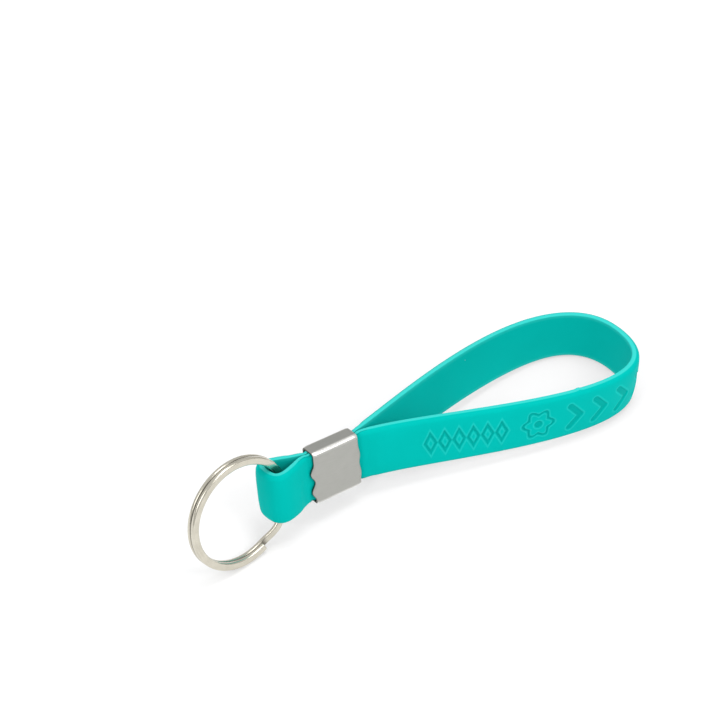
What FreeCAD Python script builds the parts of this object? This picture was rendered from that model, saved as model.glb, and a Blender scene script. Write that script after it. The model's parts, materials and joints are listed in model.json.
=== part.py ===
"""A silicone strap key ring: one endless strap, pinched by a crimped metal sleeve, carrying a split ring.

All sizes are in millimetres.  Every piece is drawn in the strap's own frame and then laid down in the
resting pose.  In the strap's frame X runs from the ring to the far end of the wrist loop, Z runs across
the strap's width with the lower edge at 0, and the origin is at the middle of the clasp.
"""
import FreeCAD, Part
import math
import os

Vec = FreeCAD.Vector

# ---- strap -------------------------------------------------------------------------------------------
STRAP_WIDTH = 12.0
STRAP_THICKNESS = 2.0
STRAP_PARTING = 0.1          # air between the two runs of the strap inside the clasp
STRAP_PRESSED = 0.35         # how much thinner the clasp squeezes each run, from its outer face

RAIL_SAMPLES = 24            # points that carry a curve of the centre line out to the strap's surface

# Each loop is two cubic curves that start where the strap leaves the clasp.  "reach" is how far the
# loop's far end lies beyond that, "front_run" and "back_run" are how far the curves follow the clasp's
# direction, "spread" sets how wide the loop opens, and "side_shift" and "tilt_deg" lean the far end to
# one side.
WRIST_LOOP = {"reach": 68.7, "front_run": 12.2, "back_run": 6.0, "spread": 27.4,
              "side_shift": -3.8, "tilt_deg": 2.0}
RING_LOOP = {"reach": 9.6, "front_run": 3.2, "back_run": 3.2, "spread": 6.9,
             "side_shift": 0.2, "tilt_deg": -2.0}

# The clasp and all on its ring side lean back.  Both runs of the wrist loop stand upright by LEAN_REACH
# beyond the clasp; the higher its hold, the longer a run keeps its lean.  Both have their full thickness
# again by PRESS_REACH.
LEAN_BACK_DEG = 12.0
LEAN_REACH = 66.0
FRONT_LEAN_HOLD = 2
BACK_LEAN_HOLD = 6
PRESS_REACH = 4.0
PRESS_HOLD = 3

# ---- clasp -------------------------------------------------------------------------------------------
CLASP_LENGTH = 11.8          # along X, to half the height of the teeth at each end
CLASP_SHEET = 0.4
CLASP_BEND_OUTSIDE = 0.9     # outside radius of the four bends
CLASP_BEND_INSIDE = 0.1      # inside radius, so that the strap's square rims fit
CLASP_CLEARANCE = 0.05       # air between the sheet and the strap
CLASP_SEAM = 0.5             # gap where the two edges of the sheet meet, along the lower side
TOOTH_PITCH = 4.55           # each end has two teeth between three notches
TOOTH_MIDDLE = -0.75         # height of the middle notch above the middle of the clasp
TOOTH_HEIGHT_RING_END = 0.45 # half the height of a tooth
TOOTH_HEIGHT_LOOP_END = 0.14
TOOTH_SAMPLES = 8            # points along one tooth

# ---- split ring --------------------------------------------------------------------------------------
RING_OUTSIDE_DIAMETER = 25.0
RING_WIRE_WIDTH = 1.7        # radial
RING_WIRE_DEPTH = 1.02       # along the ring's own axis
RING_WIRE_CORNER = 0.4
RING_COIL_GAP = 0.06
RING_JOG_DEG = 26.0          # arc in which the wire steps from one coil to the other
RING_END_DEG = -66.0         # where the front coil is cut, counted from the side towards the clasp
RING_STEP_DEG = 13.0         # arc between the points that the wire's centre line passes through

# ---- how the ring hangs and how everything lies at rest ------------------------------------------------
RING_PIVOT = Vec(-13.0, 0.0, STRAP_WIDTH / 2)   # the ring swings about a line through this point
RING_PIVOT_INSET = 0.9       # the line lies this far inside the middle of the wire
RING_SWING_DEG = 7.0         # turn of the ring's plane from the strap's direction
RING_LEAN_DEG = 1.5          # slope of the ring's upper side, away from the strap's front

# ---- worked out from the above ------------------------------------------------------------------------
STRAIGHT_RUN = CLASP_LENGTH + 2 * TOOTH_HEIGHT_RING_END + 0.1   # straight a little past the clasp
RING_RADIUS = (RING_OUTSIDE_DIAMETER - RING_WIRE_WIDTH) / 2   # to the middle of the wire


def cubic(points):
    """Edge of the cubic curve with these four control points."""
    curve = Part.BezierCurve()
    curve.setPoles(points)
    return curve.toShape()


def loop_edges(loop, direction):
    """The two curves of one loop, from the clasp's end round to the clasp again.

    direction is +1 for the loop on the +X side of the clasp and -1 for the one on the -X side.  Seen
    from above, the path runs anticlockwise.
    """
    start_x = direction * STRAIGHT_RUN / 2
    half_gap = (STRAP_THICKNESS + STRAP_PARTING) / 2
    tilt = math.radians(loop["tilt_deg"])
    far = Vec(start_x + direction * loop["reach"], loop["side_shift"], 0)
    handle = Vec(-direction * math.sin(tilt), math.cos(tilt), 0) * loop["spread"]
    edges = []
    for side in (-direction, direction):
        start = Vec(start_x, side * half_gap, 0)
        lead = start + Vec(direction * loop["front_run" if side < 0 else "back_run"], 0, 0)
        points = [start, lead, far + handle * side, far]
        edges.append(cubic(points if side == -direction else points[::-1]))
    return edges


def strap_path():
    """Edges of the strap's closed centre line, in order, in the plane of its lower edge."""
    wrist = loop_edges(WRIST_LOOP, 1)
    ring = loop_edges(RING_LOOP, -1)
    back = Part.makeLine(wrist[1].valueAt(wrist[1].LastParameter), ring[0].valueAt(0))
    front = Part.makeLine(ring[1].valueAt(ring[1].LastParameter), wrist[0].valueAt(0))
    return wrist + [back] + ring + [front]


def eased(share, hold):
    """A value that falls smoothly from 1 to 0 while the share rises from 0 to 1."""
    return (1 - min(share, 1) ** hold) ** 2


def lean_back(shape):
    """Lean a piece that sits at the clasp or on its ring side."""
    shape.rotate(Vec(0, 0, STRAP_WIDTH / 2), Vec(1, 0, 0), -LEAN_BACK_DEG)
    return shape


def surface_point(edge, at, outward, height, lean_hold):
    """Point of the strap beside a place on its centre line, outward from it and above its lower edge."""
    centre = edge.valueAt(at)
    tangent = edge.tangentAt(at)
    beyond_clasp = max(abs(centre.x) - STRAIGHT_RUN / 2, 0)
    if outward > 0:
        outward -= STRAP_PRESSED * eased(beyond_clasp / PRESS_REACH, PRESS_HOLD)
    point = centre + Vec(tangent.y, -tangent.x, 0) * outward + Vec(0, 0, height)
    pivot = Vec(0, 0, STRAP_WIDTH / 2)
    lean = LEAN_BACK_DEG
    if centre.x > STRAIGHT_RUN / 2:
        pivot.y = centre.y - math.copysign((STRAP_THICKNESS + STRAP_PARTING) / 2, centre.y)
        lean *= eased(beyond_clasp / LEAN_REACH, lean_hold)
    return pivot + FreeCAD.Rotation(Vec(1, 0, 0), -lean).multVec(point - pivot)


def rail(edge, outward, height, lean_hold):
    """The long edge of the strap that follows one edge of its centre line."""
    first, last = edge.ParameterRange
    shares = [i / RAIL_SAMPLES for i in range(RAIL_SAMPLES + 1)]
    points = []
    for share in shares:
        at = first + (last - first) * share
        points.append(surface_point(edge, at, outward, height, lean_hold))
    curve = Part.BSplineCurve()
    curve.interpolate(Points=points, Parameters=shares)
    return curve.toShape()


def silicone_band():
    """The endless strap: four ruled faces between the four long edges, for each edge of its path."""
    path = strap_path()
    lean_holds = [FRONT_LEAN_HOLD] + [BACK_LEAN_HOLD] * (len(path) - 1)
    outer = STRAP_THICKNESS / 2
    corners = [(outer, 0), (outer, STRAP_WIDTH), (-outer, STRAP_WIDTH), (-outer, 0)]
    faces = []
    for edge, lean_hold in zip(path, lean_holds):
        rails = [rail(edge, outward, height, lean_hold) for outward, height in corners]
        for one, following in zip(rails, rails[1:] + rails[:1]):
            faces.append(Part.makeRuledSurface(one, following))
    skin = Part.makeShell(faces)
    skin.sewShape()
    return Part.makeSolid(skin)


def rounded_rectangle(width, height, radius):
    """Wire in the YZ plane, centred on the origin, with quarter-circle corners."""
    edges = []
    for quarter in range(4):
        turn = math.radians(90 * quarter)
        side_y = math.copysign(width / 2 - radius, math.cos(turn + math.pi / 4))
        side_z = math.copysign(height / 2 - radius, math.sin(turn + math.pi / 4))
        bend = Part.Circle(Vec(0, side_y, side_z), Vec(1, 0, 0), radius)
        bend.XAxis = Vec(0, 1, 0)
        edges.append(bend.toShape(turn, turn + math.pi / 2))
    outline = []
    for edge, following in zip(edges, edges[1:] + edges[:1]):
        outline.append(edge)
        outline.append(Part.makeLine(edge.valueAt(edge.LastParameter),
                                     following.valueAt(following.FirstParameter)))
    return Part.Wire(outline)


def tooth(height):
    """How far the clasp's end stands out at this height, as a share of the tooth height."""
    from_middle = min(abs(height - TOOTH_MIDDLE), TOOTH_PITCH)
    return -math.cos(2 * math.pi * from_middle / TOOTH_PITCH)


def wavy_blank(depth, height):
    """Block as long as the clasp whose two ends are toothed across its height."""
    half = CLASP_LENGTH / 2
    count = round(height / TOOTH_PITCH * TOOTH_SAMPLES)
    ends = []
    for side, tooth_height in ((-1, TOOTH_HEIGHT_RING_END), (1, TOOTH_HEIGHT_LOOP_END)):
        points = []
        for i in range(count + 1):
            z = height * (i / count - 0.5)
            points.append(Vec(side * (half + tooth_height * tooth(z)), -depth / 2, z))
        ends.append(points)
    left, right = Part.BSplineCurve(), Part.BSplineCurve()
    left.interpolate(ends[0])
    right.interpolate(ends[1])
    outline = Part.Wire([
        left.toShape(),
        Part.makeLine(ends[0][-1], ends[1][-1]),
        right.toShape(),
        Part.makeLine(ends[1][0], ends[0][0]),
    ])
    return Part.Face(outline).extrude(Vec(0, depth, 0))


def crimp_clasp():
    """One sheet folded round both runs of the strap, with toothed ends and its seam underneath."""
    inner_depth = 2 * (STRAP_THICKNESS - STRAP_PRESSED) + STRAP_PARTING + 2 * CLASP_CLEARANCE
    inner_height = STRAP_WIDTH + 2 * CLASP_CLEARANCE
    outer_depth = inner_depth + 2 * CLASP_SHEET
    outer_height = inner_height + 2 * CLASP_SHEET
    run = CLASP_LENGTH + 4 * TOOTH_HEIGHT_RING_END
    tube = Part.Face(rounded_rectangle(outer_depth, outer_height, CLASP_BEND_OUTSIDE))
    bore = Part.Face(rounded_rectangle(inner_depth, inner_height, CLASP_BEND_INSIDE))
    section = tube.cut(bore)
    section.translate(Vec(-run / 2, 0, 0))
    sleeve = section.extrude(Vec(run, 0, 0))
    sleeve = sleeve.common(wavy_blank(outer_depth + 1, outer_height + 1))
    seam_corner = Vec(-run / 2, -CLASP_SEAM / 2, -outer_height / 2)
    sleeve = sleeve.cut(Part.makeBox(run, CLASP_SEAM, 2 * CLASP_SHEET, seam_corner))
    sleeve.translate(Vec(0, 0, STRAP_WIDTH / 2))
    return sleeve.Solids[0]


def coil_height(angle_deg):
    """How far the wire's centre line lies along the ring's axis: back coil, smooth step, front coil."""
    front = (RING_WIRE_DEPTH + RING_COIL_GAP) / 2
    done = min(max((angle_deg - (360 - RING_JOG_DEG)) / RING_JOG_DEG, 0), 1)
    return front * (2 * (3 * done ** 2 - 2 * done ** 3) - 1)


def split_ring():
    """Two turns of flat wire side by side, joined by one step, lying flat and centred on the origin."""
    total = 2 * 360 - RING_JOG_DEG
    count = round(total / RING_STEP_DEG)
    points = []
    for i in range(count + 1):
        angle = total * i / count
        turn = math.radians(angle)
        points.append(Vec(RING_RADIUS * math.cos(turn), RING_RADIUS * math.sin(turn), coil_height(angle)))
    centre_line = Part.BSplineCurve()
    centre_line.interpolate(points)
    section = rounded_rectangle(RING_WIRE_WIDTH, RING_WIRE_DEPTH, RING_WIRE_CORNER)
    section.rotate(Vec(0, 0, 0), Vec(0, 0, 1), -90)
    section.translate(points[0])
    sweep = Part.BRepOffsetAPI.MakePipeShell(Part.Wire(centre_line.toShape()))
    sweep.setBiNormalMode(Vec(0, 0, 1))
    sweep.add(section)
    sweep.build()
    sweep.makeSolid()
    return sweep.shape()


def ring_centre():
    """Middle of the ring before it leans: its wire passes the pivot, and its plane holds the hinge."""
    swing = math.radians(RING_SWING_DEG)
    towards_pivot = Vec(math.cos(swing), math.sin(swing), 0)
    return RING_PIVOT - towards_pivot * (RING_RADIUS - RING_PIVOT_INSET)


def stand_ring(shape):
    """Turn the flat ring upright and put it through the strap's small loop."""
    shape.rotate(Vec(0, 0, 0), Vec(0, 0, 1), RING_END_DEG + RING_JOG_DEG)
    shape.rotate(Vec(0, 0, 0), Vec(1, 0, 0), 90 - RING_LEAN_DEG)
    shape.rotate(Vec(0, 0, 0), Vec(0, 0, 1), RING_SWING_DEG)
    shape.translate(ring_centre())
    return shape


def rest_pitch_deg():
    """Slope of the strap at which the ring's lowest point and the wrist loop's far end share a floor."""
    centre = ring_centre()
    centre.z -= centre.y * math.sin(math.radians(LEAN_BACK_DEG))
    far_x = STRAIGHT_RUN / 2 + WRIST_LOOP["reach"] + STRAP_THICKNESS / 2
    span = far_x - centre.x
    lean = math.radians(LEAN_BACK_DEG + RING_LEAN_DEG)
    corner = RING_WIRE_CORNER
    below = RING_OUTSIDE_DIAMETER / 2 - corner
    behind = RING_WIRE_DEPTH + RING_COIL_GAP / 2 - corner
    drop = below * math.cos(lean) + behind * math.sin(lean) + corner
    # span * sin(pitch) + centre.z * cos(pitch) = drop
    pitch = math.asin(drop / math.hypot(span, centre.z)) - math.atan2(centre.z, span)
    return math.degrees(pitch)


def lay_down(pieces):
    """Tip every piece to the resting slope, then put the origin on the floor under the middle."""
    for shape in pieces.values():
        shape.rotate(Vec(0, 0, 0), Vec(0, 1, 0), rest_pitch_deg())
    box = Part.makeCompound(list(pieces.values())).optimalBoundingBox()
    for shape in pieces.values():
        shape.translate(Vec(-box.Center.x, -box.Center.y, -box.ZMin))
    return pieces


def build():
    """Every piece in the resting pose, by node name."""
    return lay_down({
        "silicone_band": silicone_band(),
        "crimp_clasp": lean_back(crimp_clasp()),
        "split_ring": lean_back(stand_ring(split_ring())),
    })


os.makedirs("parts", exist_ok=True)
for name, shape in build().items():
    shape.exportStep(os.path.join("parts", name + ".step"))
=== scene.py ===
"""Looks of the silicone key strap: an endless strap, a crimped metal clasp and a split ring.

Shapes are worked out in millimetres in the strap's own frame, where X runs from the ring to the far end of
the wrist loop, Y runs away from the clasp's front plate, Z runs across the strap's width from its lower
edge, and the origin is at the middle of the clasp.  to_frame() then puts them where the CAD says.
"""

import json
import math

import bpy
import numpy as np
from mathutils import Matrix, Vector


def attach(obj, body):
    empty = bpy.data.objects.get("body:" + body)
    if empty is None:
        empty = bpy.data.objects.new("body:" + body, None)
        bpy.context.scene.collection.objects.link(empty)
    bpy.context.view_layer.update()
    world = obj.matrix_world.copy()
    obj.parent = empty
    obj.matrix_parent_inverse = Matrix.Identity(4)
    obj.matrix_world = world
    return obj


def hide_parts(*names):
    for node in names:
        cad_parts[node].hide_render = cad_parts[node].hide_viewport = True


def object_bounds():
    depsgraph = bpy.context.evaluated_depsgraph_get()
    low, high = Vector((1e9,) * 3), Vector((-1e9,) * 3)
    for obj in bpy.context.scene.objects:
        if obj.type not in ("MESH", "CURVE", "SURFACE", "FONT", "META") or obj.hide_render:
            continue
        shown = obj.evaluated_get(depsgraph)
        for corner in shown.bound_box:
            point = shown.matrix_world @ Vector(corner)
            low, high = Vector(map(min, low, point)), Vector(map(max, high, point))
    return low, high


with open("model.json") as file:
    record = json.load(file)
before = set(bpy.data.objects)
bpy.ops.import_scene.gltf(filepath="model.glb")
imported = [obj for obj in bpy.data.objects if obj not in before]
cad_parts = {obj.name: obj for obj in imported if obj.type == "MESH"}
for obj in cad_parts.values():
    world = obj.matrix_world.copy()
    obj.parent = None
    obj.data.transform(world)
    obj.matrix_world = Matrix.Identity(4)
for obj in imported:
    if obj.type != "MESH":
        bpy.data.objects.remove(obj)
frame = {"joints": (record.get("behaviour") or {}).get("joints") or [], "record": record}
cad_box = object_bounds()

MM = 0.001
record = frame["record"]
mounts = {mount["name"]: mount for mount in record["mounts"]}
ring_joint = frame["joints"][0]

# ---- strap, in millimetres ------------------------------------------------------------------------------
STRAP_WIDTH = 12.0
STRAP_THICKNESS = 2.0
STRAP_PARTING = 0.1            # between the two runs of the strap inside the clasp
HALF_GAP = (STRAP_THICKNESS + STRAP_PARTING) / 2   # from the middle of the clasp to either run's middle
OUTER_RIM = 1.15               # radius of the rims on the outer face
INNER_RIM = 0.22
OUTER_CROWN = 0.18             # how far the outer face falls away towards the rims
INNER_CROWN = 0.06
STRAP_PRESSED = 0.35           # how much thinner the clasp squeezes each run, from its outer face
STRAIGHT_RUN = 12.8            # the strap lies straight in the clasp and a little past it
PRESS_REACH = 4.0              # beyond that, the strap has its full thickness again by here
PRESS_HOLD = 3
LEAN_REACH = 66.0              # and the two runs of the wrist loop stand upright by here
FRONT_LEAN_HOLD = 2            # the higher, the longer a run keeps its lean
BACK_LEAN_HOLD = 6
WRIST_LOOP = {"reach": 68.7, "front_run": 12.2, "back_run": 6.0, "spread": 27.4,
              "side_shift": -3.8, "tilt_deg": 2.0}
RING_LOOP = {"reach": 9.6, "front_run": 3.2, "back_run": 3.2, "spread": 6.9,
             "side_shift": 0.2, "tilt_deg": -2.0}
STATION_STEP = 0.3             # along the strap
FINE_STEP = 0.13               # along and across the strap where it is patterned
PINCH = 0.28                   # how far the clasp's turned-in ends press into the strap
PINCH_REACH = 0.8              # and over what length
NUB_AT = 50.0                  # small moulding mark on the upper rim, from the clasp along the front run
NUB_HEIGHT = 0.22
NUB_LENGTH = 0.55
CURVE_POINTS = 400             # along one cubic curve of the centre line
RUN_POINTS = 60                # along one straight run in the clasp
RIM_POINTS = 8                 # round one rim
INNER_FACE_POINTS = 16         # across the plain inner face

# ---- sunk pattern on the strap's outer face, in millimetres from the clasp along the front run -----------
PATTERN_DEPTH = 0.24
PATTERN_WALL = 0.22            # width of the slope between the face and the sunk floor
PATTERN_LIP = 0.05             # raised line round each sunk shape
PATTERN_LIP_WIDTH = 0.16
LOZENGES = {"first": 14.2, "pitch": 3.2, "count": 6, "half_width": 1.2, "half_height": 2.3, "stroke": 0.75}
ROSETTE = {"at": 40.2, "radius": 3.05, "wave": 0.5, "petals": 6, "stroke": 0.8, "eye": 1.0}
CHEVRONS = {"first": 45.9, "pitch": 6.2, "count": 8, "half_width": 1.3, "half_height": 2.9, "stroke": 1.5}

# ---- clasp, in millimetres --------------------------------------------------------------------------------
CLASP_LENGTH = 11.8
CLASP_DEPTH = 4.3
CLASP_HEIGHT = 12.9
CLASP_SHEET = 0.4
CLASP_BEND = 0.95              # outside radius of the four bends
CLASP_SEAM = 0.5
CLASP_EDGE = 0.1               # rounding of the sheet's cut edges
CLASP_CURL = 0.18              # how far the ends are pressed inwards
CLASP_CURL_RUN = 1.0
TOOTH_PITCH = 4.55
TOOTH_MIDDLE = -0.75           # height of the middle notch above the middle of the clasp
TOOTH_HEIGHT_RING_END = 0.45   # half the height of a wave
TOOTH_HEIGHT_LOOP_END = 0.14
CLASP_STEP = 0.2               # between points round the sheet
CLASP_COLUMNS = 14             # along the flat of the sheet
CUT_POINTS = 3                 # round each edge of a cut end
BEND_POINTS = 10
PLATE_WAVER = 0.025            # unevenness of the pressed plates

# ---- split ring, in millimetres ---------------------------------------------------------------------------
RING_RADIUS = 11.65            # to the middle of the wire
WIRE_WIDTH = 1.7
WIRE_DEPTH = 1.02
WIRE_CORNER = 0.38
COIL_GAP = 0.06
JOG_DEG = 26.0                 # arc in which the wire steps from one coil to the other
END_DEG = -66.0                # where the front coil is cut, from the side towards the clasp
WIRE_STEP_DEG = 1.5
WIRE_CORNER_POINTS = 7
CUT_BEVEL = 0.1
GROOVE_WIDTH = 0.16            # the groove between the coils is painted dark, as shade, this far from its middle

# ---- fine grain, in metres --------------------------------------------------------------------------------
STREAK_DEPTH = 0.000002        # drawn streaks in the metal
GRAIN_DEPTH = 0.000006         # moulded grain of the silicone
UNEVEN_DEPTH = 0.000035        # slow unevenness of the silicone
FIBRE_DEPTH = 0.00001          # paper

# ---- camera and light, in metres --------------------------------------------------------------------------
CAMERA_AZIMUTH_DEG = -34.9
CAMERA_ELEVATION_DEG = 44.1
CAMERA_DISTANCE = 0.468
CAMERA_LENS_MM = 103.0
CAMERA_AIM_OFFSET = Vector((0.0092, 0.0340, 0.0))   # from the middle of the object's footprint
FLOOR_SIZE = 6.0
FLOOR_GLOW = 0.33              # light table under the paper, which thins the shadows
ROOM_BRIGHTNESS = 0.85
# name, (right of, beyond, above) the object as the camera sees it, size, power in watts
SOFTBOXES = [
    ("overhead_softbox", (0.05, 0.10, 0.90), 0.34, 1.7),
    ("right_softbox", (0.58, -0.36, 0.68), 0.50, 2.7),
    ("left_softbox", (-0.60, -0.40, 0.55), 0.50, 1.9),
]
CAMERA_TURN = math.radians(CAMERA_AZIMUTH_DEG)
CAMERA_RIGHT = Vector((math.cos(CAMERA_TURN), math.sin(CAMERA_TURN), 0))
CAMERA_AWAY = Vector((-CAMERA_RIGHT.y, CAMERA_RIGHT.x, 0))


# ==== frame ================================================================================================

def strap_frame():
    """Origin, axes as rows, and the angle by which the clasp leans back, from the object's mounts."""
    up = Vector(mounts["wrist_loop"]["axis"]).normalized()
    along = Vector((up.z, 0, -up.x))
    away = up.cross(along)
    out_of_clasp = Vector(mounts["clasp_front"]["axis"]).normalized()
    clasp_middle = Vector(mounts["clasp_front"]["pos_m"]) - out_of_clasp * (CLASP_DEPTH / 2 * MM)
    origin = clasp_middle - up * (STRAP_WIDTH / 2 * MM)
    return np.array(origin), np.array([along, away, up]), math.asin(out_of_clasp.dot(up))


STRAP_ORIGIN, STRAP_AXES, LEAN_BACK = strap_frame()


def to_frame(points):
    """Points in the strap's frame, in millimetres, carried to the object's frame, in metres."""
    return STRAP_ORIGIN + (np.asarray(points) @ STRAP_AXES) * MM


def lean_points(along, away, height, lean=LEAN_BACK):
    """Points in the strap's frame, leaned back about its long axis; height is counted from mid-width."""
    leaned_away = away * np.cos(lean) + height * np.sin(lean)
    leaned_height = height * np.cos(lean) - away * np.sin(lean)
    return np.stack(np.broadcast_arrays(along, leaned_away, leaned_height + STRAP_WIDTH / 2), axis=-1)


# ==== mesh tools ===========================================================================================

def sweep_mesh(name, rings, lengths, girths, closed, attributes=None):
    """Skin of quads over rings of points, with its ends joined or capped.

    rings is (stations, points, 3).  lengths and girths hold the distance along and around the sweep, one
    more value than there are stations or points where that way round is closed, and become the UV map.
    """
    stations, around = rings.shape[:2]
    spans = stations if closed else stations - 1
    faces = []
    corners_uv = []
    for i in range(spans):
        following = (i + 1) % stations
        for j in range(around):
            beside = (j + 1) % around
            faces.append((i * around + j, following * around + j,
                          following * around + beside, i * around + beside))
            corners_uv += [(lengths[i], girths[j]), (lengths[i + 1], girths[j]),
                           (lengths[i + 1], girths[j + 1]), (lengths[i], girths[j + 1])]
    if not closed:
        last = (stations - 1) * around
        faces.append(tuple(range(around)))
        faces.append(tuple(last + j for j in reversed(range(around))))
        corners_uv += [(lengths[0], girths[j]) for j in range(around)]
        corners_uv += [(lengths[stations - 1], girths[j]) for j in reversed(range(around))]
    mesh = bpy.data.meshes.new(name)
    mesh.from_pydata(rings.reshape(-1, 3).tolist(), [], faces)
    uv_map = mesh.uv_layers.new(name="along_around")
    uv_map.data.foreach_set("uv", np.array(corners_uv, np.float32).ravel())
    for key, values in (attributes or {}).items():
        layer = mesh.attributes.new(key, "FLOAT", "POINT")
        layer.data.foreach_set("value", np.asarray(values, np.float32).ravel())
    if signed_volume(mesh) < 0:
        mesh.flip_normals()
    mesh.shade_smooth()
    return mesh


def signed_volume(mesh):
    """Volume inside a closed mesh, negative where its faces point inwards."""
    mesh.calc_loop_triangles()
    points = np.array([vertex.co for vertex in mesh.vertices], float)
    triangles = np.array([triangle.vertices for triangle in mesh.loop_triangles])
    a, b, c = (points[triangles[:, k]] for k in range(3))
    return np.einsum("ij,ij->i", a, np.cross(b, c)).sum() / 6


def add_piece(mesh, node, body, material):
    """Show this mesh for a CAD node, on the node's body and with this material."""
    piece = bpy.data.objects.new(node + "_look", mesh)
    bpy.context.scene.collection.objects.link(piece)
    mesh.materials.append(material)
    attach(piece, body)
    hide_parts(node)
    return piece


def running_length(points):
    """Distance from the first of a row of points to each of them."""
    steps = np.linalg.norm(np.diff(points, axis=0), axis=1)
    return np.concatenate([[0.0], np.cumsum(steps)])


# ==== strap ================================================================================================

def cubic(points):
    """Points on the cubic curve with these four control points, without its last point."""
    t = (np.arange(CURVE_POINTS) / CURVE_POINTS)[:, None]
    a, b, c, d = np.array(points, float)
    return (1 - t) ** 3 * a + 3 * (1 - t) ** 2 * t * b + 3 * (1 - t) * t ** 2 * c + t ** 3 * d


def loop_points(loop, direction):
    """Centre line of one loop, from the clasp round to the clasp, anticlockwise seen from above."""
    start_x = direction * STRAIGHT_RUN / 2
    tilt = math.radians(loop["tilt_deg"])
    far = np.array((start_x + direction * loop["reach"], loop["side_shift"]))
    handle = np.array((-direction * math.sin(tilt), math.cos(tilt))) * loop["spread"]
    curves = []
    for side in (-direction, direction):
        start = np.array((start_x, side * HALF_GAP))
        run = loop["front_run"] if side < 0 else loop["back_run"]
        lead = start + np.array((direction * run, 0))
        points = [start, lead, far + handle * side, far]
        curves.append(cubic(points if side == -direction else points[::-1]))
    return np.vstack(curves)


def strap_centre_line():
    """Closed centre line of the strap from the clasp along the front run, as dense points."""
    wrist = loop_points(WRIST_LOOP, 1)
    ring = loop_points(RING_LOOP, -1)
    straight = np.linspace(1, -1, RUN_POINTS, endpoint=False)[:, None] * STRAIGHT_RUN / 2
    back = np.hstack([straight, np.full_like(straight, HALF_GAP)])
    front = np.hstack([-straight, np.full_like(straight, -HALF_GAP)])
    return np.vstack([wrist, back, ring, front])


def along_centre_line(line, stations_at):
    """Places and directions to the outside, at these distances along a closed centre line."""
    closed = np.vstack([line, line[:1]])
    length = running_length(closed)
    tangent = np.roll(line, -1, axis=0) - np.roll(line, 1, axis=0)
    tangent /= np.linalg.norm(tangent, axis=1)[:, None]
    outward = np.column_stack([tangent[:, 1], -tangent[:, 0]])
    outward = np.vstack([outward, outward[:1]])
    place = np.column_stack([np.interp(stations_at, length, closed[:, k]) for k in range(2)])
    side = np.column_stack([np.interp(stations_at, length, outward[:, k]) for k in range(2)])
    side /= np.linalg.norm(side, axis=1)[:, None]
    return place, side


def face_profile(crown, rim, columns):
    """One face of the strap from the lower rim's end to the upper rim's end: height and distance out.

    The face is a flat fourth-power arch, and each rim is an arc that leaves it without a corner.
    """
    half_width = STRAP_WIDTH / 2
    half_thickness = STRAP_THICKNESS / 2
    slope = math.atan(4 * crown / half_width)
    edge = half_width - rim * (1 - math.sin(slope))
    height = np.linspace(-edge, edge, columns)
    out = half_thickness - crown * (np.abs(height) / edge) ** 4
    turn = np.linspace(slope, math.pi / 2, RIM_POINTS + 1)[1:]
    arc_height = edge + rim * (np.sin(turn) - math.sin(slope))
    arc_out = half_thickness - crown + rim * (np.cos(turn) - math.cos(slope))
    height = np.concatenate([-arc_height[::-1], height, arc_height])
    out = np.concatenate([arc_out[::-1], out, arc_out])
    return height, out


def strap_section():
    """Closed section of the strap: height above its middle, distance out, and 1 on the outer face."""
    outer_height, outer_out = face_profile(OUTER_CROWN, OUTER_RIM, round(STRAP_WIDTH / FINE_STEP))
    inner_height, inner_out = face_profile(INNER_CROWN, INNER_RIM, INNER_FACE_POINTS)
    height = np.concatenate([outer_height, inner_height[::-1]])
    out = np.concatenate([outer_out, -inner_out[::-1]])
    outer = np.concatenate([np.ones(len(outer_height)), np.zeros(len(inner_height))])
    return height, out, outer


def stroke(distance_to_line, width):
    """Signed distance to a line of this width, negative inside it."""
    return distance_to_line - width / 2


def lozenge(x, z):
    """Signed distance to the outline of an upright lozenge."""
    a, b = LOZENGES["half_width"], LOZENGES["half_height"]
    inside = (np.abs(x) * b + np.abs(z) * a - a * b) / math.hypot(a, b)
    return stroke(np.abs(inside), LOZENGES["stroke"])


def rosette(x, z):
    """Signed distance to a scalloped ring with a round eye."""
    radius = np.hypot(x, z)
    scallop = ROSETTE["radius"] + ROSETTE["wave"] * np.cos(ROSETTE["petals"] * np.arctan2(z, x))
    return np.minimum(stroke(np.abs(radius - scallop), ROSETTE["stroke"]), radius - ROSETTE["eye"])


def chevron(x, z):
    """Signed distance to a chevron that points along the strap."""
    half_width, half_height = CHEVRONS["half_width"], CHEVRONS["half_height"]
    leg = np.array((-2 * half_width, half_height))
    share = ((x - half_width) * leg[0] + np.abs(z) * leg[1]) / (leg @ leg)
    share = np.clip(share, 0, 1)
    away = np.hypot(x - half_width - share * leg[0], np.abs(z) - share * leg[1])
    return stroke(away, CHEVRONS["stroke"])


def pattern_distance(along, height):
    """Signed distance to the nearest sunk shape, at points given along and across the strap."""
    nearest = rosette(along - ROSETTE["at"], height)
    for row, shape in ((LOZENGES, lozenge), (CHEVRONS, chevron)):
        for i in range(row["count"]):
            middle = row["first"] + row["pitch"] * (i + 0.5)
            nearest = np.minimum(nearest, shape(along - middle, height))
    return nearest


def pattern_relief(along, height):
    """Height of the outer face over its plain shape, how sunk it is and how much it is lip, from 0 to 1."""
    away = pattern_distance(along, height)
    share = np.clip(-away / PATTERN_WALL, 0, 1)
    sunk = share * share * (3 - 2 * share)
    lip = np.exp(-((away - PATTERN_LIP_WIDTH) / PATTERN_LIP_WIDTH) ** 2) * (1 - sunk)
    return PATTERN_LIP * lip - PATTERN_DEPTH * sunk, sunk, lip


def strap_stations(total):
    """Distances along the strap: close together where it is patterned."""
    pattern_start = LOZENGES["first"] - 1
    pattern_end = CHEVRONS["first"] + CHEVRONS["pitch"] * CHEVRONS["count"] + 1
    stretches = [
        (0, pattern_start, STATION_STEP),
        (pattern_start, pattern_end, FINE_STEP),
        (pattern_end, total, STATION_STEP),
    ]
    parts = []
    for first, last, step in stretches:
        parts.append(np.linspace(first, last, round((last - first) / step), endpoint=False))
    return np.concatenate(parts)


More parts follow.
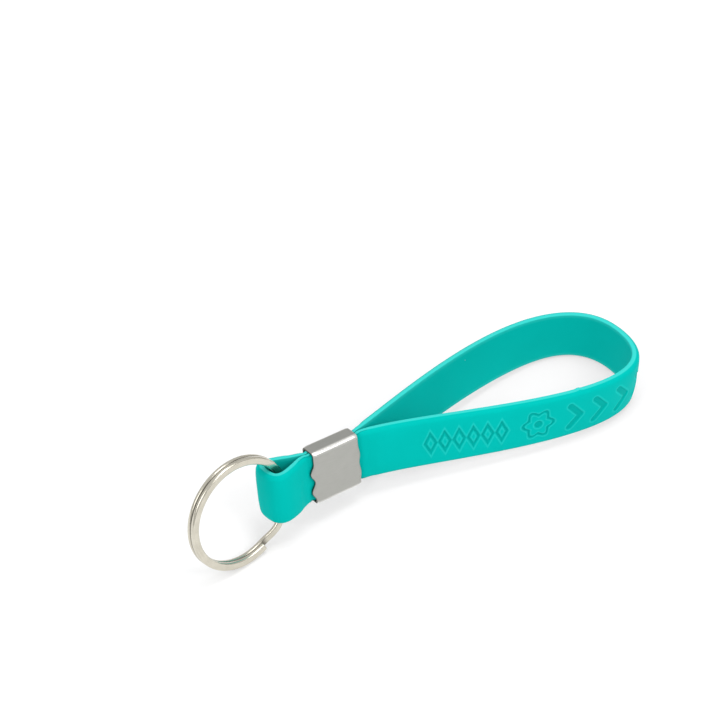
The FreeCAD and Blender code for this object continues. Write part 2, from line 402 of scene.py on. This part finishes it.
def eased(share, hold):
    """Values that fall smoothly from 1 to 0 while the share rises from 0 to 1."""
    return (1 - np.clip(share, 0, 1) ** hold) ** 2


def strap_points(place, side, out, height):
    """Surface of the strap from places on its centre line and its sections, leaning as the CAD strap does."""
    x, y = place[:, :1], place[:, 1:]
    beyond_clasp = np.maximum(np.abs(x) - STRAIGHT_RUN / 2, 0)
    out = out - STRAP_PRESSED * eased(beyond_clasp / PRESS_REACH, PRESS_HOLD) * (out > 0)
    on_wrist_loop = x > STRAIGHT_RUN / 2
    pivot = np.where(on_wrist_loop, y - np.copysign(HALF_GAP, y), 0)
    on_front_run = np.arange(len(x))[:, None] <= np.argmax(x)
    hold = np.where(on_front_run, FRONT_LEAN_HOLD, BACK_LEAN_HOLD)
    lean = LEAN_BACK * np.where(on_wrist_loop, eased(beyond_clasp / LEAN_REACH, hold), 1)
    points = lean_points(x + side[:, :1] * out, y + side[:, 1:] * out - pivot, height, lean)
    points[..., 1] += pivot
    return points


def strap_mesh():
    """The endless strap, with its crowned outer face, rounded rims, sunk pattern and moulding mark."""
    line = strap_centre_line()
    total = running_length(np.vstack([line, line[:1]]))[-1]
    at = strap_stations(total)
    place, side = along_centre_line(line, at)
    height, out, outer = strap_section()
    along_grid, height_grid = np.meshgrid(at, height, indexing="ij")
    relief, sunk, lip = pattern_relief(along_grid, height_grid)
    out_grid = out + relief * outer
    near_end = np.exp(-((np.abs(place[:, 0]) - CLASP_LENGTH / 2) / PINCH_REACH) ** 2)
    near_end *= np.abs(place[:, 1]) < STRAP_THICKNESS
    out_grid -= PINCH * near_end[:, None] * outer
    squeezed = height_grid * (1 - PINCH / STRAP_WIDTH * 2 * near_end[:, None])
    on_top = np.clip((height - STRAP_WIDTH / 2 + OUTER_RIM) / OUTER_RIM, 0, 1)
    nub = NUB_HEIGHT * np.exp(-((at - NUB_AT) / NUB_LENGTH) ** 2)
    squeezed += nub[:, None] * on_top
    # inner rims: a highlight is painted in there, and the silicone is shinier
    rim = np.exp(-((np.abs(height) - STRAP_WIDTH / 2) / INNER_RIM) ** 2) * (out < 0)
    section = np.column_stack([out, height])
    girths = running_length(np.vstack([section, section[:1]]))
    points = strap_points(place, side, out_grid, squeezed)
    # rim and lip carry painted highlights, and sunk carries painted shade, into the colour
    return sweep_mesh("silicone_band_look", to_frame(points), np.append(at, total), girths, closed=True,
                      attributes={"rim": np.broadcast_to(rim, out_grid.shape),
                                  "sunk": sunk * outer, "lip": lip * outer})


# ==== clasp ================================================================================================

def clasp_outline():
    """Outside of the folded sheet across the strap, from seam to seam: places and directions out.

    Both are (y, z) pairs, with z counted from the middle of the clasp.
    """
    half_y = CLASP_DEPTH / 2 - CLASP_BEND
    half_z = CLASP_HEIGHT / 2 - CLASP_BEND
    corners = [(half_y, -half_z), (half_y, half_z), (-half_y, half_z), (-half_y, -half_z)]
    seam = (CLASP_SEAM / 2, -CLASP_HEIGHT / 2)
    places, sides = [seam], [(0, -1)]
    for i, (y, z) in enumerate(corners):
        first_turn = math.pi * (i - 1) / 2
        for turn in np.linspace(first_turn, first_turn + math.pi / 2, BEND_POINTS):
            side = (math.cos(turn), math.sin(turn))
            places.append((y + CLASP_BEND * side[0], z + CLASP_BEND * side[1]))
            sides.append(side)
    places.append((-seam[0], seam[1]))
    sides.append((0, -1))
    return np.array(places), np.array(sides, float)


def refine(places, sides):
    """The same outline with more points on its straight stretches."""
    new_places, new_sides = [places[0]], [sides[0]]
    for i in range(1, len(places)):
        count = max(1, round(np.linalg.norm(places[i] - places[i - 1]) / CLASP_STEP))
        for share in np.arange(1, count + 1) / count:
            new_places.append(places[i - 1] + (places[i] - places[i - 1]) * share)
            side = sides[i - 1] + (sides[i] - sides[i - 1]) * share
            new_sides.append(side / np.linalg.norm(side))
    return np.array(new_places), np.array(new_sides)


def tooth(height, tooth_height):
    """How far the sheet's end stands out at this height: two teeth between three notches."""
    from_middle = height - TOOTH_MIDDLE
    if abs(from_middle) > TOOTH_PITCH:
        return -tooth_height
    return -tooth_height * math.cos(2 * math.pi * from_middle / TOOTH_PITCH)


def sheet_section(first, last):
    """Closed section of the sheet between two ends along X: place along X, depth, and 1 on cut ends."""
    edge_turn = np.linspace(0, math.pi / 2, CUT_POINTS + 1)[1:]
    curl_columns = CLASP_CURL_RUN * np.array((0.0, 0.15, 0.3, 0.5, 0.7, 1.0))
    outer = np.concatenate([
        first + CLASP_EDGE + curl_columns,
        np.linspace(first + 2 * CLASP_CURL_RUN, last - 2 * CLASP_CURL_RUN, CLASP_COLUMNS),
        last - CLASP_EDGE - curl_columns[::-1],
    ])
    round_last = last - CLASP_EDGE * (1 - np.sin(edge_turn))
    round_first = (first + CLASP_EDGE * (1 - np.sin(edge_turn)))[::-1]
    depth = CLASP_EDGE * (1 - np.cos(edge_turn))
    along = np.concatenate([outer, round_last, round_last[::-1], outer[::-1], round_first[::-1], round_first])
    inwards = np.concatenate([
        np.zeros(len(outer)), depth, CLASP_SHEET - depth[::-1],
        np.full(len(outer), CLASP_SHEET), CLASP_SHEET - depth, depth[::-1],
    ])
    to_end = np.minimum(along - first, last - along)
    curl = CLASP_CURL * np.clip(1 - to_end / CLASP_CURL_RUN, 0, 1) ** 2
    return along, inwards + curl, np.clip(1.5 - 2 * to_end / CLASP_EDGE, 0, 1)


def plate_waver(along, height):
    """Slow unevenness of the clasp's front and back plates."""
    return PLATE_WAVER * np.sin(0.55 * along + 0.4 * height + 0.8) * math.cos(0.5 * height - 0.3)


def clasp_mesh():
    """One sheet folded round the strap, with toothed ends that press into it and a seam underneath."""
    places, sides = refine(*clasp_outline())
    rings, cut_ends, bends = [], [], []
    for (y, z), (side_y, side_z) in zip(places, sides):
        first = -CLASP_LENGTH / 2 - tooth(z, TOOTH_HEIGHT_RING_END)
        last = CLASP_LENGTH / 2 + tooth(z, TOOTH_HEIGHT_LOOP_END)
        along, inwards, cut = sheet_section(first, last)
        inwards = inwards + plate_waver(along, z) * abs(side_y)
        rings.append(lean_points(along, y - side_y * inwards, z - side_z * inwards))
        # painted shade on the cut ends, and a painted highlight on the bends away from them
        cut_ends.append(cut)
        bends.append(np.full(len(cut), 2 * abs(side_y * side_z)) * (1 - cut))
    rings = np.array(rings)
    lengths = running_length(places)
    girths = running_length(np.vstack([rings[0], rings[0][:1]]))
    return sweep_mesh("crimp_clasp_look", to_frame(rings), lengths, girths, closed=False,
                      attributes={"painted_shade": np.array(cut_ends), "painted_highlight": np.array(bends)})


# ==== split ring ===========================================================================================

def ring_frame():
    """Centre and axes, as rows, of the ring: towards the clasp, up, and out of its front coil."""
    centre = np.array(mounts["key_ring"]["pos_m"])
    normal = Vector(mounts["key_ring"]["axis"]).normalized()
    up = Vector(ring_joint["axis"]).normalized()
    towards = up.cross(normal).normalized()
    return centre, np.array([towards, up, normal])


def coil_height(angle_deg):
    """How far the wire's centre line lies along the ring's axis: back coil, smooth step, front coil."""
    front = (WIRE_DEPTH + COIL_GAP) / 2
    done = np.clip((angle_deg - (360 - JOG_DEG)) / JOG_DEG, 0, 1)
    return front * (2 * (3 * done ** 2 - 2 * done ** 3) - 1)


def wire_section(inset=0.0):
    """Rounded rectangle of the wire: distance out from its middle and distance along the ring's axis."""
    corner = WIRE_CORNER - inset / 2
    half_width = WIRE_WIDTH / 2 - inset - corner
    half_depth = WIRE_DEPTH / 2 - inset - corner
    points = []
    for i, (side_r, side_z) in enumerate(((1, 1), (-1, 1), (-1, -1), (1, -1))):
        for turn in np.linspace(math.pi * i / 2, math.pi * (i + 1) / 2, WIRE_CORNER_POINTS):
            points.append((side_r * half_width + corner * math.cos(turn),
                           side_z * half_depth + corner * math.sin(turn)))
    return np.array(points)


def ring_mesh():
    """Two turns of flat wire side by side, joined by one step, with bevelled cut ends."""
    total = 2 * 360 - JOG_DEG
    bevel_deg = math.degrees(CUT_BEVEL / RING_RADIUS)
    between = np.linspace(0, total, round(total / WIRE_STEP_DEG) + 1)[1:-1]
    angles = np.concatenate([[0, bevel_deg], between, [total - bevel_deg, total]])
    insets = np.zeros(len(angles))
    insets[[0, -1]] = CUT_BEVEL
    rings, grooves = [], []
    for angle, inset in zip(angles, insets):
        section = wire_section(inset)
        turn = math.radians(angle + END_DEG + JOG_DEG)
        out = RING_RADIUS + section[:, 0]
        along_axis = coil_height(angle) + section[:, 1]
        rings.append(np.column_stack([out * math.cos(turn), out * math.sin(turn), along_axis]))
        # painted shade: the groove between the two coils is darkened in the colour where the coils lie side
        # by side
        beside_coil = abs(2 * coil_height(angle) / (WIRE_DEPTH + COIL_GAP)) ** 4
        grooves.append(beside_coil * np.exp(-(along_axis / GROOVE_WIDTH) ** 2))
    centre, axes = ring_frame()
    rings = centre + (np.array(rings) @ axes) * MM
    section = wire_section()
    girths = running_length(np.vstack([section, section[:1]]))
    return sweep_mesh("split_ring_look", rings, np.radians(angles) * RING_RADIUS, girths, closed=False,
                      attributes={"painted_shade": np.array(grooves)})


# ==== materials ============================================================================================

def add_node(tree, kind, inputs=None, **settings):
    """Add a shader node, set its options, and fill its inputs with values or with other nodes' outputs."""
    node = tree.nodes.new("ShaderNode" + kind)
    for key, value in settings.items():
        setattr(node, key, value)
    for key, value in (inputs or {}).items():
        if isinstance(value, bpy.types.NodeSocket):
            tree.links.new(value, node.inputs[key])
        else:
            node.inputs[key].default_value = value
    return node


def new_material(name):
    """A material and its node tree, with the principled shader found by name."""
    material = bpy.data.materials.new(name)
    material.use_nodes = True
    return material, material.node_tree, material.node_tree.nodes["Principled BSDF"]


def noise(tree, vector, scale, detail=3.0, roughness=0.5):
    """Grey noise from 0 to 1."""
    node = add_node(tree, "TexNoise", {"Vector": vector, "Scale": scale, "Detail": detail,
                                       "Roughness": roughness})
    return node.outputs["Fac"]


def remap(tree, value, low, high, to_low, to_high):
    """A value moved from one range to another and held inside it."""
    node = add_node(tree, "MapRange", {"Value": value, "From Min": low, "From Max": high,
                                       "To Min": to_low, "To Max": to_high}, clamp=True)
    return node.outputs["Result"]


def scaled(tree, share, most):
    """A share from 0 to 1 turned into one from 0 to this much."""
    return remap(tree, share, 0.0, 1.0, 0.0, most)


def mix_colour(tree, share, first, second):
    """Blend of two colours."""
    node = add_node(tree, "Mix", data_type="RGBA")
    for socket, value in ((node.inputs[0], share), (node.inputs[6], first), (node.inputs[7], second)):
        if isinstance(value, bpy.types.NodeSocket):
            tree.links.new(value, socket)
        else:
            socket.default_value = value
    return node.outputs[2]


def attribute(tree, name):
    """A value stored on the mesh's points."""
    return add_node(tree, "Attribute", attribute_name=name).outputs["Fac"]


def bump(tree, height, distance, strength=1.0, normal=None):
    """Surface normal disturbed by a height, with the distance in metres."""
    inputs = {"Height": height, "Distance": distance, "Strength": strength}
    if normal is not None:
        inputs["Normal"] = normal
    return add_node(tree, "Bump", inputs).outputs["Normal"]


def silicone_material():
    """Satin teal silicone: faint mottling, fine moulded grain, painted highlights on the inner rims and the
    lips, painted shade on the sunk floors, dust.
    """
    material, tree, shader = new_material("teal_silicone")
    place = add_node(tree, "TexCoord").outputs["Object"]
    teal = (0.0, 0.462, 0.412, 1)
    pale_teal = (0.0, 0.484, 0.434, 1)
    # painted highlight for the inner rims and the lips, then painted shade for the sunk floors
    highlight_teal = (0.03, 0.66, 0.60, 1)
    shade_teal = (0.0, 0.410, 0.364, 1)
    dust_white = (0.55, 0.85, 0.82, 1)
    neutral = (0.42, 0.42, 0.42, 1)         # what the strap throws on the paper, so that it stays white
    mottling = remap(tree, noise(tree, place, 55.0, 2.0), 0.35, 0.65, 0.0, 1.0)
    colour = mix_colour(tree, mottling, teal, pale_teal)
    # painted shade on the sunk floors, then painted highlights on the inner rims and the lips
    colour = mix_colour(tree, attribute(tree, "sunk"), colour, shade_teal)
    colour = mix_colour(tree, scaled(tree, attribute(tree, "rim"), 0.7), colour, highlight_teal)
    colour = mix_colour(tree, scaled(tree, attribute(tree, "lip"), 0.4), colour, highlight_teal)
    specks = add_node(tree, "TexVoronoi", {"Vector": place, "Scale": 330.0})
    near_speck = remap(tree, specks.outputs["Distance"], 0.018, 0.035, 1.0, 0.0)
    chosen = add_node(tree, "SeparateColor", {"Color": specks.outputs["Color"]})
    rare = remap(tree, chosen.outputs["Red"], 0.93, 0.95, 0.0, 0.7)
    speck = add_node(tree, "Math", {0: near_speck, 1: rare}, operation="MULTIPLY").outputs[0]
    colour = mix_colour(tree, speck, colour, dust_white)
    bounced = add_node(tree, "LightPath").outputs["Is Diffuse Ray"]
    tree.links.new(mix_colour(tree, bounced, colour, neutral), shader.inputs["Base Color"])
    grain = noise(tree, place, 4200.0, 2.0)
    tree.links.new(remap(tree, noise(tree, place, 260.0), 0.3, 0.7, 0.44, 0.56), shader.inputs["Roughness"])
    unevenness = bump(tree, noise(tree, place, 320.0, 2.0), UNEVEN_DEPTH)
    tree.links.new(bump(tree, grain, GRAIN_DEPTH, 0.6, unevenness), shader.inputs["Normal"])
    shine = remap(tree, attribute(tree, "rim"), 0.0, 1.0, 0.015, 0.4)
    tree.links.new(shine, shader.inputs["Specular IOR Level"])
    shader.inputs["IOR"].default_value = 1.41
    return material


def metal_material(name, colour, dark_colour, roughness, streaks):
    """Plated metal: cloudy tone, drawn streaks, tiny pits, painted highlights on bends, painted shade in
    grooves and on cut ends.
    """
    material, tree, shader = new_material(name)
    # painted shade colour for the ring's groove and the clasp's cut ends, then painted highlight colour for
    # the clasp's bends
    painted_shade = (0.06, 0.05, 0.035, 1)
    bright = (0.86, 0.85, 0.81, 1)
    place = add_node(tree, "TexCoord")
    stretched = add_node(tree, "Mapping", {"Vector": place.outputs["UV"], "Scale": streaks})
    lines = noise(tree, stretched.outputs["Vector"], 1.0, 4.0, 0.6)
    clouds = noise(tree, place.outputs["Object"], 420.0, 3.0)
    pits = add_node(tree, "TexVoronoi", {"Vector": place.outputs["Object"], "Scale": 1500.0})
    pit = remap(tree, pits.outputs["Distance"], 0.05, 0.12, 1.0, 0.0)
    tone = mix_colour(tree, remap(tree, clouds, 0.3, 0.75, 0.0, 0.3), colour, dark_colour)
    tone = mix_colour(tree, remap(tree, lines, 0.3, 0.75, 0.0, 0.35), tone, dark_colour)
    tone = mix_colour(tree, scaled(tree, pit, 0.3), tone, dark_colour)
    # painted highlight on the bends, then painted shade in the groove and on the cut ends
    tone = mix_colour(tree, scaled(tree, attribute(tree, "painted_highlight"), 0.8), tone, bright)
    tone = mix_colour(tree, scaled(tree, attribute(tree, "painted_shade"), 0.85), tone, painted_shade)
    tree.links.new(tone, shader.inputs["Base Color"])
    rough = remap(tree, lines, 0.25, 0.75, roughness[0], roughness[1])
    tree.links.new(rough, shader.inputs["Roughness"])
    tree.links.new(bump(tree, lines, STREAK_DEPTH), shader.inputs["Normal"])
    shader.inputs["Metallic"].default_value = 1.0
    return material


def clasp_material():
    """Satin nickel plate, brushed along the clasp."""
    return metal_material("satin_nickel", (0.435, 0.433, 0.405, 1), (0.355, 0.355, 0.328, 1),
                          (0.30, 0.42), (6.0, 0.35, 1.0))


def ring_material():
    """Bright warm nickel on drawn wire."""
    return metal_material("bright_nickel", (0.72, 0.685, 0.59, 1), (0.36, 0.325, 0.245, 1),
                          (0.12, 0.26), (0.25, 9.0, 1.0))


def floor_material():
    """Matt white paper on a light table."""
    material, tree, shader = new_material("white_paper")
    place = add_node(tree, "TexCoord").outputs["Object"]
    fibres = noise(tree, place, 900.0, 4.0)
    white = mix_colour(tree, fibres, (0.61, 0.61, 0.61, 1), (0.63, 0.63, 0.63, 1))
    tree.links.new(white, shader.inputs["Base Color"])
    shader.inputs["Emission Color"].default_value = (1, 1, 1, 1)
    shader.inputs["Emission Strength"].default_value = FLOOR_GLOW
    tree.links.new(bump(tree, fibres, FIBRE_DEPTH), shader.inputs["Normal"])
    shader.inputs["Roughness"].default_value = 0.9
    shader.inputs["Specular IOR Level"].default_value = 0.0
    return material


# ==== stage ================================================================================================

def add_floor():
    """Wide flat floor just under the object."""
    half = FLOOR_SIZE / 2
    mesh = bpy.data.meshes.new("floor")
    corners = [(-half, -half, 0), (half, -half, 0), (half, half, 0), (-half, half, 0)]
    mesh.from_pydata(corners, [], [(0, 1, 2, 3)])
    mesh.materials.append(floor_material())
    floor = bpy.data.objects.new("floor", mesh)
    bpy.context.scene.collection.objects.link(floor)


def aim(thing, place, target):
    """Put a camera or light at a place and point it at a target."""
    thing.location = place
    thing.rotation_mode = "QUATERNION"
    thing.rotation_quaternion = (Vector(target) - Vector(place)).to_track_quat("-Z", "Y")


def add_softbox(name, place, target, size, power):
    """Square area light."""
    lamp = bpy.data.lights.new(name, "AREA")
    lamp.shape = "SQUARE"
    lamp.size = size
    lamp.energy = power
    light = bpy.data.objects.new(name, lamp)
    bpy.context.scene.collection.objects.link(light)
    aim(light, place, target)


def add_world():
    """White room.  It lights the object a little less from near the horizon, but shows as plain white."""
    world = bpy.data.worlds.new("white_room")
    bpy.context.scene.world = world
    world.use_nodes = True
    tree = world.node_tree
    direction = add_node(tree, "TexCoord").outputs["Generated"]
    height = add_node(tree, "SeparateXYZ", {"Vector": direction}).outputs["Z"]
    horizon = (0.55, 0.55, 0.54, 1)
    overhead = (0.92, 0.93, 0.94, 1)
    backdrop = (1.2, 1.2, 1.2, 1)
    colour = mix_colour(tree, remap(tree, height, 0.0, 0.45, 0.0, 1.0), horizon, overhead)
    shown = add_node(tree, "LightPath").outputs["Is Camera Ray"]
    colour = mix_colour(tree, shown, colour, backdrop)
    background = tree.nodes["Background"]
    tree.links.new(colour, background.inputs["Color"])
    background.inputs["Strength"].default_value = ROOM_BRIGHTNESS


def add_camera(middle):
    """Camera at the height and side from which the object is usually shown."""
    lens = bpy.data.cameras.new("camera")
    lens.lens = CAMERA_LENS_MM
    lens.clip_start = 0.01
    camera = bpy.data.objects.new("camera", lens)
    bpy.context.scene.collection.objects.link(camera)
    rise = math.radians(CAMERA_ELEVATION_DEG)
    back = Vector((0, 0, math.sin(rise))) - CAMERA_AWAY * math.cos(rise)
    target = middle + CAMERA_AIM_OFFSET
    aim(camera, target + back * CAMERA_DISTANCE, target)
    bpy.context.scene.camera = camera


def add_stage():
    """Floor, lights, world and camera round the object."""
    low, high = cad_box
    middle = Vector(((low.x + high.x) / 2, (low.y + high.y) / 2, 0))
    add_floor()
    add_world()
    for name, (right, away, up), size, power in SOFTBOXES:
        place = middle + CAMERA_RIGHT * right + CAMERA_AWAY * away + Vector((0, 0, up))
        add_softbox(name, place, middle, size, power)
    add_camera(middle)
    bpy.context.scene.view_settings.view_transform = "Standard"


# ==== build ================================================================================================

add_piece(strap_mesh(), "silicone_band", "strap", silicone_material())
add_piece(clasp_mesh(), "crimp_clasp", "strap", clasp_material())
add_piece(ring_mesh(), "split_ring", "ring", ring_material())
add_stage()
